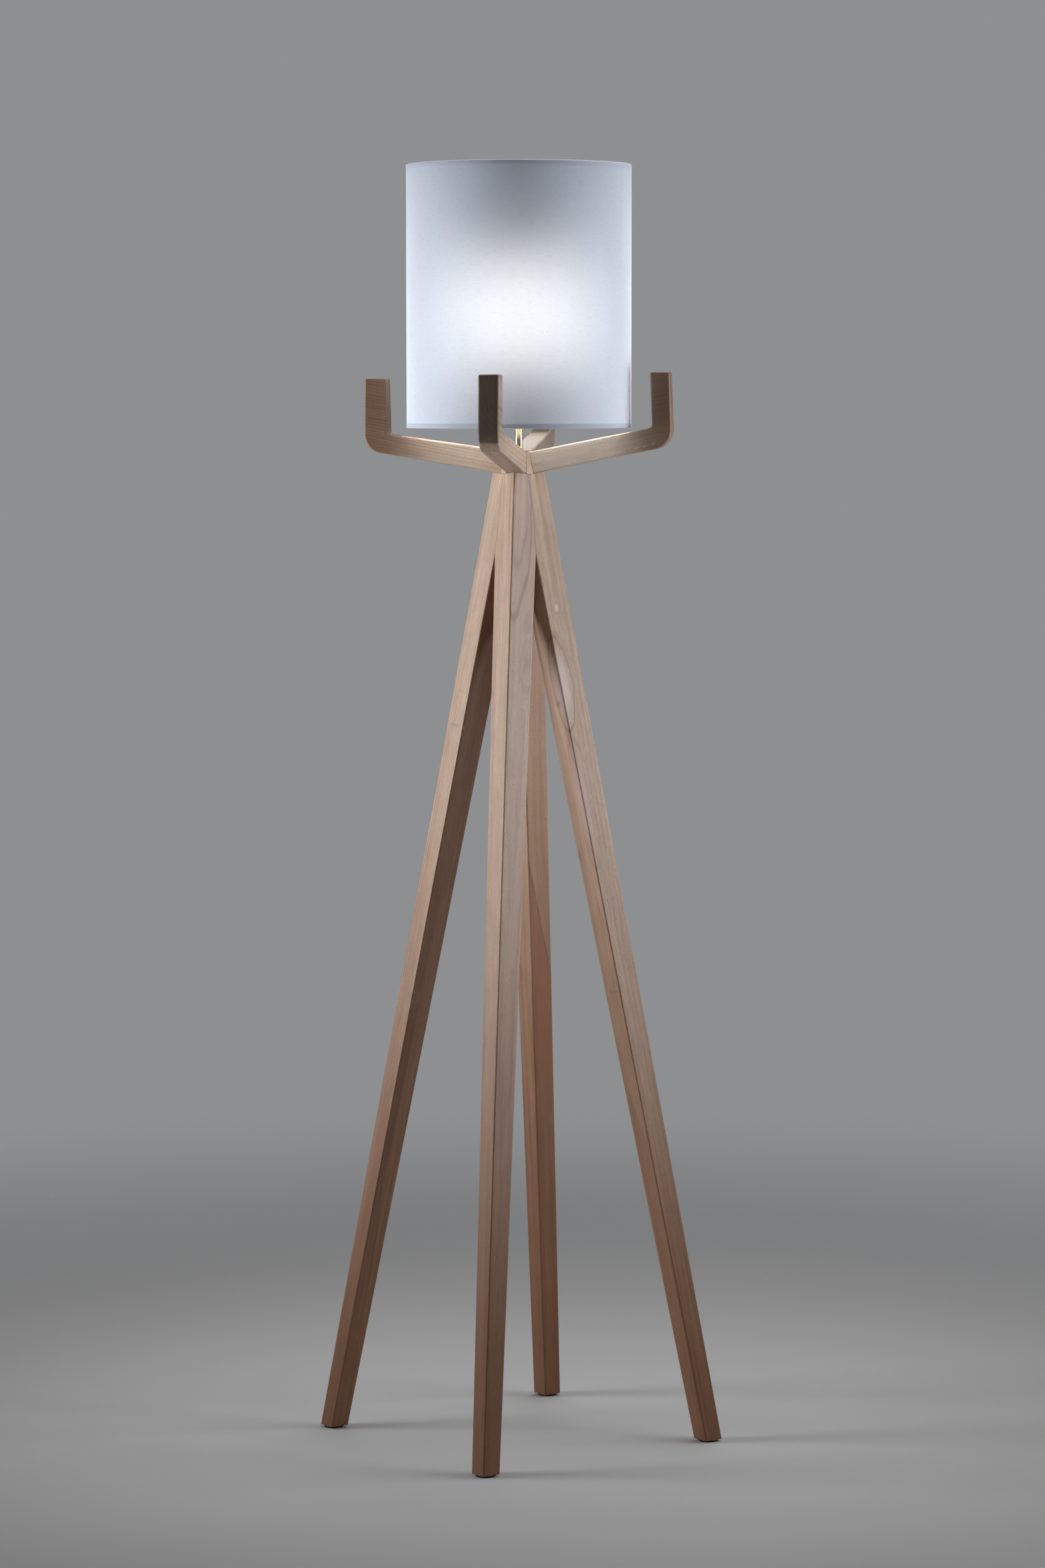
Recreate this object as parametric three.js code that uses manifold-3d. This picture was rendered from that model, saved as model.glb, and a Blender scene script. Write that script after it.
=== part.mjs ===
// A four-legged wooden floor lamp with a drum shade.
// Millimetres, +Z up, origin on the floor at the lamp's axis.
// Four splayed legs meet in a mitred cluster. A hub stands on it and carries four elbowed arms, which
// stand round the shade. A brass tube runs down through the hub and the cluster and clamps them together.
// At its top it carries the lampholder, on which the shade's spider is held by a threaded ring.

import * as THREE from 'three';
import { mergeVertices } from 'three/addons/utils/BufferGeometryUtils.js';
import Module from 'manifold-3d';

const wasm = await Module();
wasm.setup();

// Fits
const GLUE_GAP = 0.3;              // between wooden faces that touch
const HOLE_CLEARANCE = 0.15;       // radial, round a dowel or the tube

// Legs: square stock set on edge, with one arris facing straight outwards
const FOOT_RADIUS = 257;           // leg centre line from the axis, at the floor
const LEG_TOP_RADIUS = 6.6;        // the same, at JOINT_Z
const FOOT_SIDE = 27;
const LEG_TOP_SIDE = 41.2;
const LEG_ARRIS_RADIUS = 2.2;
const LEG_BLANK_TOP = 1312;
const PAD_THICKNESS = 2.5;
const PAD_RADIUS = 13;

// Joint between legs, hub and arms
const JOINT_Z = 1295;              // where a leg's end, an arm's underside and the hub meet
const HUB_FLAT_RADIUS = 22;        // hub flat from the axis, at JOINT_Z
const HUB_TOP_Z = 1326;
const HUB_BLANK_BOTTOM = 1280;

// Arms
const ARM_THICKNESS = 27;
const ARM_EDGE_RADIUS = 2.5;
const ELBOW_OUTER_RADIUS = 26;
const ELBOW_INNER_RADIUS = 5;
const ARM_TIP_RADIUS = 3;

// Every arm is sawn by hand and every leg is glued by eye, so the four sides differ a little.
// rise: slope of the arm's underside and of the leg's end; depth and thinning: the arm's depth at the hub
// and its loss by the elbow; reach, tip and width: the upright's outer face, height and width at its top;
// lean: how far its outer face leaves the vertical, and flare: how much less its inner face does;
// armTurn and legTurn: twist in plan.
const SIDES = {
  front: {
    heading: -90, legTurn: -0.2, armTurn: -1.6,
    rise: 10.4, depth: 30, thinning: 2, reach: 205, tip: 1425.5, width: 29, lean: 1.5, flare: 0.4,
  },
  right: {
    heading: 0, legTurn: 0.1, armTurn: 0,
    rise: 11.4, depth: 29.6, thinning: 0.8, reach: 203.4, tip: 1429.5, width: 26, lean: 2.3, flare: 0,
  },
  back: {
    heading: 90, legTurn: 1, armTurn: -0.6,
    rise: 10.4, depth: 30, thinning: 2, reach: 205, tip: 1426, width: 29, lean: 1.5, flare: 0.4,
  },
  left: {
    heading: 180, legTurn: -0.8, armTurn: 0,
    rise: 9.4, depth: 30.6, thinning: 4, reach: 206.3, tip: 1421, width: 29.7, lean: 1, flare: 2.6,
  },
};
const ELBOW_RADIUS = 165;          // where an arm's thinning is counted

// Dowels
const ARM_DOWEL_RADIUS = 3;
const ARM_DOWEL_LENGTH = 31;
const ARM_DOWEL_DEPTH_IN_HUB = 11;
const ARM_DOWEL_HEIGHTS = { lower: 8.5, upper: 19.5 };
const MITRE_DOWEL_RADIUS = 4;
const MITRE_DOWEL_LENGTH = 22;
const MITRE_DOWEL_Z = 1240;
const MITRE_DOWEL_FROM_AXIS = 21;

// Tube and its nuts
const TUBE_RADIUS = 4.8;
const TUBE_BORE_RADIUS = 3.7;
const TUBE_BOTTOM_Z = 1180;
const SEAT_Z = 1193;               // counterbore floor under the leg cluster
const SEAT_RADIUS = 13;
const TOP_POCKET_RADIUS = 9.6;     // pocket in the hub's top, which hides the upper nut
const TOP_POCKET_DEPTH = 5;
const NUT_ACROSS_FLATS = 14;

// Lampholder, E27 pattern: heights above its own base
const HOLDER_Z = 1405;
const RING_INNER_RADIUS = 20.2;
const FITTER_RADIUS = 27.5;
const FITTER_Z = 27.8;
const FITTER_THICKNESS = 2;

// Bulb, A60 pattern
const BULB_RADIUS = 30;
const BULB_CENTRE = 101;           // above the lampholder's base
const BULB_NECK_RADIUS = 11.6;
const BULB_GLASS = 1.1;

// Shade
const SHADE_RADIUS = 150;
const SHADE_BOTTOM_Z = 1355;
const SHADE_TOP_Z = 1703;
const FABRIC_THICKNESS = 0.7;
const LINER_THICKNESS = 1;
const HOOP_WIRE_RADIUS = 1.6;
const HOOP_INSET = 4.5;            // hoop centre from the shade's edge
const SPOKE_COUNT = 3;

// Colours and finishes
const finish = (color, roughness, metalness = 0) => ({ color, roughness, metalness });
const WOOD = finish(0xc9a27e, 0.5);
const DOWEL_WOOD = finish(0xd9bd95, 0.6);
const RUBBER = finish(0x1c1b1a, 0.8);
const BRASS = finish(0xd8b765, 0.22, 1);
const STEEL = finish(0xb9bcc0, 0.3, 1);
const HOLDER_PLASTIC = finish(0xf0eee8, 0.4);
const PORCELAIN = finish(0xf4f2ea, 0.25);
const GLASS = finish(0xfbf7ee, 0.35);
const BLACK_GLASS = finish(0x141416, 0.2);
const FABRIC = finish(0xeef0f6, 0.9);
const LINER = finish(0xf7f7f4, 0.6);
const WHITE_WIRE = finish(0xf2f2f0, 0.4);

const rad = THREE.MathUtils.degToRad;

// Solids and booleans

function asSolid(geometry) {
  const bare = geometry.clone();
  bare.deleteAttribute('normal');
  bare.deleteAttribute('uv');
  const merged = mergeVertices(bare, 1e-4);
  return new wasm.Manifold(new wasm.Mesh({
    numProp: 3,
    vertProperties: merged.attributes.position.array,
    triVerts: new Uint32Array(merged.index.array),
  }));
}

function asGeometry(solid) {
  const mesh = solid.getMesh();
  const geometry = new THREE.BufferGeometry();
  geometry.setAttribute('position', new THREE.BufferAttribute(mesh.vertProperties, 3));
  geometry.setIndex(new THREE.BufferAttribute(mesh.triVerts, 1));
  geometry.computeVertexNormals();
  return geometry;
}

function cut(geometry, ...cutters) {
  const solid = cutters.reduce((rest, cutter) => rest.subtract(asSolid(cutter)), asSolid(geometry));
  return asGeometry(solid);
}

// A large block that fills the side of a plane that its normal points to.
function beyond(point, normal) {
  const size = 500;
  const turn = new THREE.Quaternion().setFromUnitVectors(new THREE.Vector3(0, 0, 1), normal);
  return new THREE.BoxGeometry(size, size, size)
    .translate(0, 0, size / 2)
    .applyQuaternion(turn)
    .translate(point.x, point.y, point.z);
}

// A round rod whose axis runs through two points.
function rod(from, to, radius, segments = 16) {
  const along = new THREE.Vector3().subVectors(to, from);
  const turn = new THREE.Quaternion().setFromUnitVectors(
    new THREE.Vector3(0, 1, 0), along.clone().normalize());
  const middle = new THREE.Vector3().addVectors(from, to).multiplyScalar(0.5);
  return new THREE.CylinderGeometry(radius, radius, along.length(), segments)
    .applyQuaternion(turn)
    .translate(middle.x, middle.y, middle.z);
}

const uprightRod = (bottom, top, radius, segments) =>
  rod(new THREE.Vector3(0, 0, bottom), new THREE.Vector3(0, 0, top), radius, segments);

// A solid of revolution about Z. Its profile runs anticlockwise in (radius, z), and closes on itself
// unless it starts and ends on the axis.
function turned(profile, segments = 24) {
  const onAxis = profile[0][0] === 0;
  const outline = onAxis ? profile : [...profile, profile[0]];
  return new THREE.LatheGeometry(outline.map(([r, z]) => new THREE.Vector2(r, z)), segments)
    .rotateX(Math.PI / 2);
}

const ringProfile = (inner, outer, bottom, top) =>
  [[inner, bottom], [outer, bottom], [outer, top], [inner, top]];

// Thread-like ridges on a turned profile, from one height to another.
function ridges(root, crest, from, to, count) {
  const points = [];
  for (let i = 0; i < count; i += 1) {
    points.push([root, THREE.MathUtils.lerp(from, to, i / count)]);
    points.push([crest, THREE.MathUtils.lerp(from, to, (i + 0.5) / count)]);
  }
  points.push([root, to]);
  return points;
}

// An outline whose corners are rounded, each to its own radius.
function roundedOutline(corners, steps = 3) {
  const points = [];
  corners.forEach(({ at, radius, fine = steps }, i) => {
    const before = corners[(i + corners.length - 1) % corners.length].at;
    const after = corners[(i + 1) % corners.length].at;
    const a = before.clone().sub(at).normalize();
    const b = after.clone().sub(at).normalize();
    if (radius === 0) {
      points.push(at.clone());
      return;
    }
    const half = Math.acos(a.dot(b)) / 2;
    const centre = a.clone().add(b).normalize().multiplyScalar(radius / Math.sin(half)).add(at);
    const start = a.multiplyScalar(radius / Math.tan(half)).add(at).sub(centre);
    const end = b.multiplyScalar(radius / Math.tan(half)).add(at).sub(centre);
    const sweep = Math.atan2(start.cross(end), start.dot(end));
    for (let step = 0; step <= fine; step += 1) {
      points.push(start.clone().rotateAround(new THREE.Vector2(), sweep * step / fine).add(centre));
    }
  });
  return points;
}

const corner = (x, y, radius, fine) => ({ at: new THREE.Vector2(x, y), radius, fine });

// A regular polygon with its corners on a circle.
function polygon(sides, radius) {
  const start = new THREE.Vector2(radius, 0);
  return new THREE.Shape(Array.from({ length: sides }, (_, i) =>
    start.clone().rotateAround(new THREE.Vector2(), 2 * Math.PI * i / sides)));
}

// Legs

const legSlope = (FOOT_RADIUS - LEG_TOP_RADIUS) / JOINT_Z;
const legStretch = 1 / Math.cos(Math.atan(legSlope));
const legCentre = (z) => FOOT_RADIUS - legSlope * z;
const legSide = (z) => THREE.MathUtils.lerp(FOOT_SIDE, LEG_TOP_SIDE, z / JOINT_Z);
const legOuterArris = (z) => legCentre(z) + legSide(z) / Math.SQRT2 * legStretch;

// The square blank, tapered, set on edge and splayed along +X.
function legBlank() {
  const half = FOOT_SIDE / 2;
  const section = roundedOutline([
    corner(-half, -half, LEG_ARRIS_RADIUS), corner(half, -half, LEG_ARRIS_RADIUS),
    corner(half, half, LEG_ARRIS_RADIUS), corner(-half, half, LEG_ARRIS_RADIUS),
  ]);
  const bottom = PAD_THICKNESS + GLUE_GAP;
  const blank = new THREE.ExtrudeGeometry(new THREE.Shape(section), {
    depth: LEG_BLANK_TOP - bottom, bevelEnabled: false,
  }).translate(0, 0, bottom);
  const position = blank.attributes.position;
  for (let i = 0; i < position.count; i += 1) {
    const z = position.getZ(i);
    const growth = (legSide(z) - FOOT_SIDE) / 2;
    const x = position.getX(i) + Math.sign(position.getX(i)) * growth;
    const y = position.getY(i) + Math.sign(position.getY(i)) * growth;
    position.setXYZ(i, (x - y) / Math.SQRT2 * legStretch + legCentre(z), (x + y) / Math.SQRT2, z);
  }
  return blank;
}

// The plane of a leg's end, which is also the plane of the arm's underside above it.
const endNormal = (rise) => new THREE.Vector3(-Math.sin(rad(rise)), 0, Math.cos(rad(rise)));
const jointPoint = () => new THREE.Vector3(HUB_FLAT_RADIUS, 0, JOINT_Z);

// The dowel across the mitre on one side of a leg: side is 1 or -1.
function mitreDowelEnds(side, length) {
  const along = new THREE.Vector3(1, side, 0).normalize();
  const across = new THREE.Vector3(-1, side, 0).normalize();
  const middle = along.multiplyScalar(MITRE_DOWEL_FROM_AXIS).setZ(MITRE_DOWEL_Z);
  return [-1, 1].map((end) => middle.clone().addScaledVector(across, end * length / 2));
}

function legGeometry({ rise, legTurn }) {
  const splayed = legBlank().rotateZ(rad(legTurn));
  const mitres = [1, -1].map((side) => {
    const normal = new THREE.Vector3(-1, side, 0).normalize();
    const point = normal.clone().multiplyScalar(-GLUE_GAP / 2).setZ(JOINT_Z);
    return beyond(point, normal);
  });
  const end = endNormal(rise);
  const endPoint = jointPoint().addScaledVector(end, -GLUE_GAP / 2);
  const holes = [1, -1].map((side) => {
    const [from, to] = mitreDowelEnds(side, MITRE_DOWEL_LENGTH + 2 * GLUE_GAP);
    return rod(from, to, MITRE_DOWEL_RADIUS + HOLE_CLEARANCE);
  });
  return cut(
    splayed, ...mitres, beyond(endPoint, end), ...holes,
    uprightRod(SEAT_Z - 100, JOINT_Z + 20, TUBE_RADIUS + HOLE_CLEARANCE),
    uprightRod(SEAT_Z - 100, SEAT_Z, SEAT_RADIUS),
  );
}

// Hub

// An arm dowel, in the frame of its side: height is measured up the hub's flat.
function armDowelEnds(rise, height, extra = 0) {
  const outwards = new THREE.Vector3(Math.cos(rad(rise)), 0, Math.sin(rad(rise)));
  const middle = jointPoint().addScaledVector(endNormal(rise), height);
  return [
    middle.clone().addScaledVector(outwards, -ARM_DOWEL_DEPTH_IN_HUB - extra),
    middle.clone().addScaledVector(outwards, ARM_DOWEL_LENGTH - ARM_DOWEL_DEPTH_IN_HUB + extra),
  ];
}

const armDowelHoles = (rise) => Object.values(ARM_DOWEL_HEIGHTS).map((height) => {
  const [from, to] = armDowelEnds(rise, height, GLUE_GAP);
  return rod(from, to, ARM_DOWEL_RADIUS + HOLE_CLEARANCE);
});

function hubGeometry() {
  const lower = legOuterArris(HUB_BLANK_BOTTOM);
  const upper = legOuterArris(HUB_TOP_Z);
  const blank = new THREE.CylinderGeometry(upper, lower, HUB_TOP_Z - HUB_BLANK_BOTTOM, 4)
    .rotateX(Math.PI / 2)
    .translate(0, 0, (HUB_TOP_Z + HUB_BLANK_BOTTOM) / 2);
  const cutters = Object.values(SIDES).flatMap(({ heading, rise }) => {
    const flat = new THREE.Vector3(Math.cos(rad(rise)), 0, Math.sin(rad(rise)));
    const flatPoint = jointPoint().addScaledVector(flat, -GLUE_GAP / 2);
    const under = endNormal(rise).negate();
    const underPoint = jointPoint().addScaledVector(under, -GLUE_GAP / 2);
    return [beyond(flatPoint, flat), beyond(underPoint, under), ...armDowelHoles(rise)]
      .map((cutter) => cutter.rotateZ(rad(heading)));
  });
  return cut(
    blank, ...cutters,
    uprightRod(HUB_BLANK_BOTTOM - 10, HUB_TOP_Z + 10, TUBE_RADIUS + HOLE_CLEARANCE),
    uprightRod(HUB_TOP_Z - TOP_POCKET_DEPTH, HUB_TOP_Z + 10, TOP_POCKET_RADIUS),
  );
}

// Arms

// The outline of an arm in its own upright plane, as (radius, z).
function armOutline({ rise, depth, thinning, reach, tip, width, lean, flare }) {
  const hubEnd = HUB_FLAT_RADIUS - 12;
  const underside = (r) => JOINT_Z + (r - HUB_FLAT_RADIUS) * Math.tan(rad(rise)) + GLUE_GAP / 2;
  const thickness = (r) => depth - thinning * (r - HUB_FLAT_RADIUS) / (ELBOW_RADIUS - HUB_FLAT_RADIUS);
  const topside = (r) => underside(r) + thickness(r) / Math.cos(rad(rise));
  const outer = (z) => reach + (tip - z) * Math.tan(rad(lean));
  const inner = (z) => reach - width + (tip - z) * Math.tan(rad(lean - flare));
  const outerFoot = outer(underside(reach));
  const innerFoot = inner(topside(reach - width));
  return roundedOutline([
    corner(hubEnd, underside(hubEnd), 0),
    corner(outerFoot, underside(outerFoot), ELBOW_OUTER_RADIUS, 8),
    corner(outer(tip), tip, ARM_TIP_RADIUS),
    corner(inner(tip), tip, ARM_TIP_RADIUS),
    corner(innerFoot, topside(innerFoot), ELBOW_INNER_RADIUS),
    corner(hubEnd, topside(hubEnd), 0),
  ]);
}

function armGeometry(side) {
  const flat = new THREE.Vector3(Math.cos(rad(side.rise)), 0, Math.sin(rad(side.rise)));
  const flatPoint = jointPoint().addScaledVector(flat, GLUE_GAP / 2);
  const blank = new THREE.ExtrudeGeometry(new THREE.Shape(armOutline(side)), {
    depth: ARM_THICKNESS - 2 * ARM_EDGE_RADIUS, steps: 1, bevelEnabled: true,
    bevelThickness: ARM_EDGE_RADIUS, bevelSize: ARM_EDGE_RADIUS,
    bevelOffset: -ARM_EDGE_RADIUS, bevelSegments: 3,
  })
    .translate(0, 0, ARM_EDGE_RADIUS - ARM_THICKNESS / 2)
    .rotateX(Math.PI / 2)
    .translate(-HUB_FLAT_RADIUS, 0, 0)
    .rotateZ(rad(side.armTurn))
    .translate(HUB_FLAT_RADIUS, 0, 0);
  return cut(blank, beyond(flatPoint, flat.negate()), ...armDowelHoles(side.rise));
}

// Tube, washers, nuts and bushing

const washer = (outer, bottom, thickness) =>
  turned(ringProfile(TUBE_RADIUS + HOLE_CLEARANCE, outer, bottom, bottom + thickness));

function nut(bottom, thickness) {
  const shape = polygon(6, NUT_ACROSS_FLATS / 2 / Math.cos(rad(30)));
  shape.holes.push(new THREE.Path().absarc(0, 0, TUBE_RADIUS + HOLE_CLEARANCE, 0, 2 * Math.PI, true));
  return new THREE.ExtrudeGeometry(shape, { depth: thickness, bevelEnabled: false, curveSegments: 12 })
    .translate(0, 0, bottom);
}

const bushingProfile = [
  [3.4, TUBE_BOTTOM_Z - 3.3], [6.4, TUBE_BOTTOM_Z - 3.3], [7.2, TUBE_BOTTOM_Z - 2.3],
  [7.2, TUBE_BOTTOM_Z + 4.6], [5.0, TUBE_BOTTOM_Z + 4.6], [5.0, TUBE_BOTTOM_Z - 0.3],
  [3.4, TUBE_BOTTOM_Z - 0.3],
];

// Lampholder, with heights above its base

const capProfile = [
  [5.0, 0], [8.5, 0], [8.5, 5], [17.5, 11], [19.4, 14.5], [19.4, 25],
  [17.9, 25], [17.9, 15], [16.6, 12.4], [8, 8.4], [5.0, 8.4],
];
const coreProfile = [[2.6, 16], [16.2, 16], [16.2, 31], [14.9, 31], [14.9, 21], [2.6, 21]];
const skirtProfile = [
  [16.5, 17.5], [17.5, 17.5], [17.5, 25.3], [23.5, 25.3], [23.5, 27.5], [19, 27.5],
  ...ridges(19.0, 19.7, 28.4, 46.4, 4), [19.4, 54], [15.2, 54], [15.2, 52.2], [16.5, 52.2],
];
const shellProfile = [
  [13.9, 21.3], [14.6, 21.3], [14.6, 49.8], [13.7, 49.8],
  ...ridges(14.1, 13.6, 24.6, 45.8, 4).reverse(),
];
const ringCollarProfile = [
  [RING_INNER_RADIUS, 30.2], [27, 30.2], [27, 31.8], [23.6, 32.4], [23.2, 38.4], [22.6, 39],
  [RING_INNER_RADIUS, 39],
];

function coreGeometry() {
  const wells = [1, -1].map((side) => rod(
    new THREE.Vector3(side * 9, 0, 18.6), new THREE.Vector3(side * 20, 0, 18.6), 1.6, 12));
  return cut(turned(coreProfile), ...wells);
}

function capGeometry() {
  const well = rod(new THREE.Vector3(0, -4, 2.6), new THREE.Vector3(0, -12, 2.6), 1.4, 12);
  return cut(turned(capProfile), well);
}

// A flat spring leaf that rises from the core's floor to the bulb's tip.
function contactGeometry() {
  const leaf = new THREE.Shape(roundedOutline([
    corner(-7, 21.3, 0), corner(3.2, 21.3, 0), corner(4.6, 21.7, 0.4), corner(0.4, 23.2, 0.6),
    corner(-3.4, 22.9, 0.4), corner(-3.4, 22.5, 0), corner(0.2, 22.8, 0.3), corner(2.6, 21.9, 0),
    corner(-7, 21.8, 0),
  ]));
  return new THREE.ExtrudeGeometry(leaf, { depth: 5, bevelEnabled: false })
    .translate(0, 0, -2.5)
    .rotateX(Math.PI / 2);
}

// A slotted screw that lies along +X, with its head outside.
function terminalScrew() {
  const body = turned([[0, 0], [1.45, 0], [1.45, 5.4], [0, 5.4]], 16).rotateY(Math.PI / 2)
    .translate(10, 0, 18.6);
  const slot = new THREE.BoxGeometry(0.8, 0.6, 4).translate(15.3, 0, 18.6);
  return cut(body, slot);
}

function grubScrew() {
  const body = turned([[0, 0], [1.25, 0], [1.25, 3.4], [0, 3.4]], 16).rotateX(Math.PI / 2)
    .translate(0, -5.1, 2.6);
  const slot = new THREE.BoxGeometry(3, 0.8, 0.6).translate(0, -8.4, 2.6);
  return cut(body, slot);
}

// Bulb, with heights above the lampholder's base

const bulbCapProfile = [
  [12.2, 28.6], ...ridges(12.6, 13.1, 29.4, 46.6, 4), [13.2, 47.6], [13.2, 50.6], [12.4, 50.6], [12.2, 46],
];
const insulatorProfile = [[0, 25.4], [5.6, 25.4], [7, 26.2], [11.7, 29], [11.7, 30.6], [0, 30.6]];
const tipProfile = [[0, 23.5], [2.6, 23.6], [4.2, 24.2], [4.6, 25.1], [0, 25.1]];
const mountProfile = [[0, 38], [9, 38], [9, 39.4], [4.2, 44], [2.6, 50], [2.6, 71], [0, 71]];

// The envelope's outline from its neck to its crown, drawn in by inset.
function envelope(inset) {
  const radius = BULB_RADIUS - inset;
  const waist = rad(-38);
  const outline = new THREE.Path();
  outline.moveTo(BULB_NECK_RADIUS - inset, 52);
  outline.bezierCurveTo(
    BULB_NECK_RADIUS - inset, 66,
    radius * Math.cos(waist) + 8.5 * Math.sin(waist), BULB_CENTRE + radius * Math.sin(waist) - 9,
    radius * Math.cos(waist), BULB_CENTRE + radius * Math.sin(waist));
  outline.absarc(0, BULB_CENTRE, radius, waist, Math.PI / 2, false);
  return outline.getPoints(5).map(({ x, y }) => [Math.max(x, 0), y]);
}

function glassProfile() {
  const outside = envelope(0);
  const inside = envelope(BULB_GLASS).reverse();
  inside[0][0] = 0;
  outside[outside.length - 1][0] = 0;
  return [...inside, [BULB_NECK_RADIUS - BULB_GLASS, 34], [BULB_NECK_RADIUS, 34], ...outside];
}

// A round wire bent along a smooth path.
function wire(points, radius, sides, steps) {
  const path = new THREE.CatmullRomCurve3(points.map(([x, y, z]) => new THREE.Vector3(x, y, z)));
  return new THREE.ExtrudeGeometry(polygon(sides, radius), { extrudePath: path, steps, bevelEnabled: false });
}

const filamentGeometry = () => wire([
  [-1.4, 0, 71.4], [-3, 0, 78], [-11, 0, 94], [-8, 0, 99], [0, 0, 101.5],
  [8, 0, 99], [11, 0, 94], [3, 0, 78], [1.4, 0, 71.4],
], 0.45, 6, 26);

// Shade

const hoopRadius = SHADE_RADIUS - FABRIC_THICKNESS - LINER_THICKNESS - 2 * GLUE_GAP - HOOP_WIRE_RADIUS;

const sleeve = (outer, thickness) =>
  turned(ringProfile(outer - thickness, outer, SHADE_BOTTOM_Z, SHADE_TOP_Z), 72);

const hoopGeometry = (z) => new THREE.TorusGeometry(hoopRadius, HOOP_WIRE_RADIUS, 6, 60).translate(0, 0, z);

// One spoke, from the fitter ring out and down to the bottom hoop, along +X.
function spokeGeometry() {
  const inner = FITTER_RADIUS + GLUE_GAP;
  const outer = hoopRadius - HOOP_WIRE_RADIUS - GLUE_GAP;
  const top = HOLDER_Z + FITTER_Z + FITTER_THICKNESS / 2;
  const bottom = SHADE_BOTTOM_Z + HOOP_INSET;
  return wire([
    [inner, 0, top], [inner + 8, 0, top], [inner + 24, 0, top - 6], [inner + 62, 0, top - 38],
    [outer - 16, 0, bottom + 5], [outer - 7, 0, bottom], [outer, 0, bottom],
  ], HOOP_WIRE_RADIUS, 8, 18);
}

// Assembly

const lamp = new THREE.Group();
const holder = new THREE.Group();
holder.position.z = HOLDER_Z;
lamp.add(holder);

function place(parent, name, geometry, look, heading = 0) {
  const mesh = new THREE.Mesh(geometry, new THREE.MeshStandardMaterial(look));
  mesh.name = name;
  mesh.rotation.z = rad(heading);
  parent.add(mesh);
}

Object.entries(SIDES).forEach(([name, side]) => {
  const footTurn = rad(side.legTurn);
  const pad = turned([[0, 0], [PAD_RADIUS, 0], [PAD_RADIUS, PAD_THICKNESS], [0, PAD_THICKNESS]], 24)
    .translate(FOOT_RADIUS * Math.cos(footTurn), FOOT_RADIUS * Math.sin(footTurn), 0);
  place(lamp, `leg_${name}`, legGeometry(side), WOOD, side.heading);
  place(lamp, `foot_pad_${name}`, pad, RUBBER, side.heading);
  place(lamp, `arm_${name}`, armGeometry(side), WOOD, side.heading);
  Object.entries(ARM_DOWEL_HEIGHTS).forEach(([level, height]) => {
    const [from, to] = armDowelEnds(side.rise, height);
    place(lamp, `arm_dowel_${name}_${level}`, rod(from, to, ARM_DOWEL_RADIUS), DOWEL_WOOD, side.heading);
  });
  const [from, to] = mitreDowelEnds(1, MITRE_DOWEL_LENGTH);
  place(lamp, `mitre_dowel_${name}`, rod(from, to, MITRE_DOWEL_RADIUS), DOWEL_WOOD, side.heading);
});
place(lamp, 'hub', hubGeometry(), WOOD);

const tubeProfile = ringProfile(TUBE_BORE_RADIUS, TUBE_RADIUS, TUBE_BOTTOM_Z, HOLDER_Z + 9);
place(lamp, 'stem_tube', turned(tubeProfile), BRASS);
place(lamp, 'stem_top_washer', washer(9, HUB_TOP_Z - TOP_POCKET_DEPTH + 0.2, 1.2), STEEL);
place(lamp, 'stem_top_nut', nut(HUB_TOP_Z - TOP_POCKET_DEPTH + 1.6, 3), BRASS);
place(lamp, 'stem_bottom_washer', washer(12, SEAT_Z - 1.8, 1.5), STEEL);
place(lamp, 'stem_bottom_nut', nut(SEAT_Z - 6.2, 4), BRASS);
place(lamp, 'cord_bushing', turned(bushingProfile), RUBBER);

place(holder, 'holder_cap', capGeometry(), HOLDER_PLASTIC);
place(holder, 'holder_grub_screw', grubScrew(), STEEL);
place(holder, 'holder_core', coreGeometry(), PORCELAIN);
place(holder, 'holder_skirt', turned(skirtProfile), HOLDER_PLASTIC);
place(holder, 'holder_screw_shell', turned(shellProfile), BRASS);
place(holder, 'holder_centre_contact', contactGeometry(), BRASS);
place(holder, 'terminal_screw_live', terminalScrew(), BRASS);
place(holder, 'terminal_screw_neutral', terminalScrew(), BRASS, 180);
place(holder, 'shade_ring', turned(ringCollarProfile), HOLDER_PLASTIC);

place(holder, 'bulb_glass', turned(glassProfile()), GLASS);
place(holder, 'bulb_mount', turned(mountProfile, 20), GLASS);
place(holder, 'bulb_filament', filamentGeometry(), STEEL);
place(holder, 'bulb_cap', turned(bulbCapProfile), BRASS);
place(holder, 'bulb_insulator', turned(insulatorProfile), BLACK_GLASS);
place(holder, 'bulb_tip', turned(tipProfile, 20), STEEL);

const linerRadius = SHADE_RADIUS - FABRIC_THICKNESS - GLUE_GAP;
place(lamp, 'shade_fabric', sleeve(SHADE_RADIUS, FABRIC_THICKNESS), FABRIC);
place(lamp, 'shade_liner', sleeve(linerRadius, LINER_THICKNESS), LINER);
place(lamp, 'shade_top_hoop', hoopGeometry(SHADE_TOP_Z - HOOP_INSET), WHITE_WIRE);
place(lamp, 'shade_bottom_hoop', hoopGeometry(SHADE_BOTTOM_Z + HOOP_INSET), WHITE_WIRE);
const fitterProfile = ringProfile(RING_INNER_RADIUS, FITTER_RADIUS, FITTER_Z, FITTER_Z + FITTER_THICKNESS);
place(holder, 'shade_fitter_ring', turned(fitterProfile), WHITE_WIRE);
for (let i = 0; i < SPOKE_COUNT; i += 1) {
  place(lamp, `shade_spoke_${i + 1}`, spokeGeometry(), WHITE_WIRE, 30 + i * 360 / SPOKE_COUNT);
}

export default lamp;
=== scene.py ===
# The looks of a four-legged wooden floor lamp with a lit drum shade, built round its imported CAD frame.
# Metres, in the frame of the CAD: +Z up, the stem on the Z axis, the front leg towards -Y.

import math
import random

import bpy
from mathutils import Euler, Matrix, Vector


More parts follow.
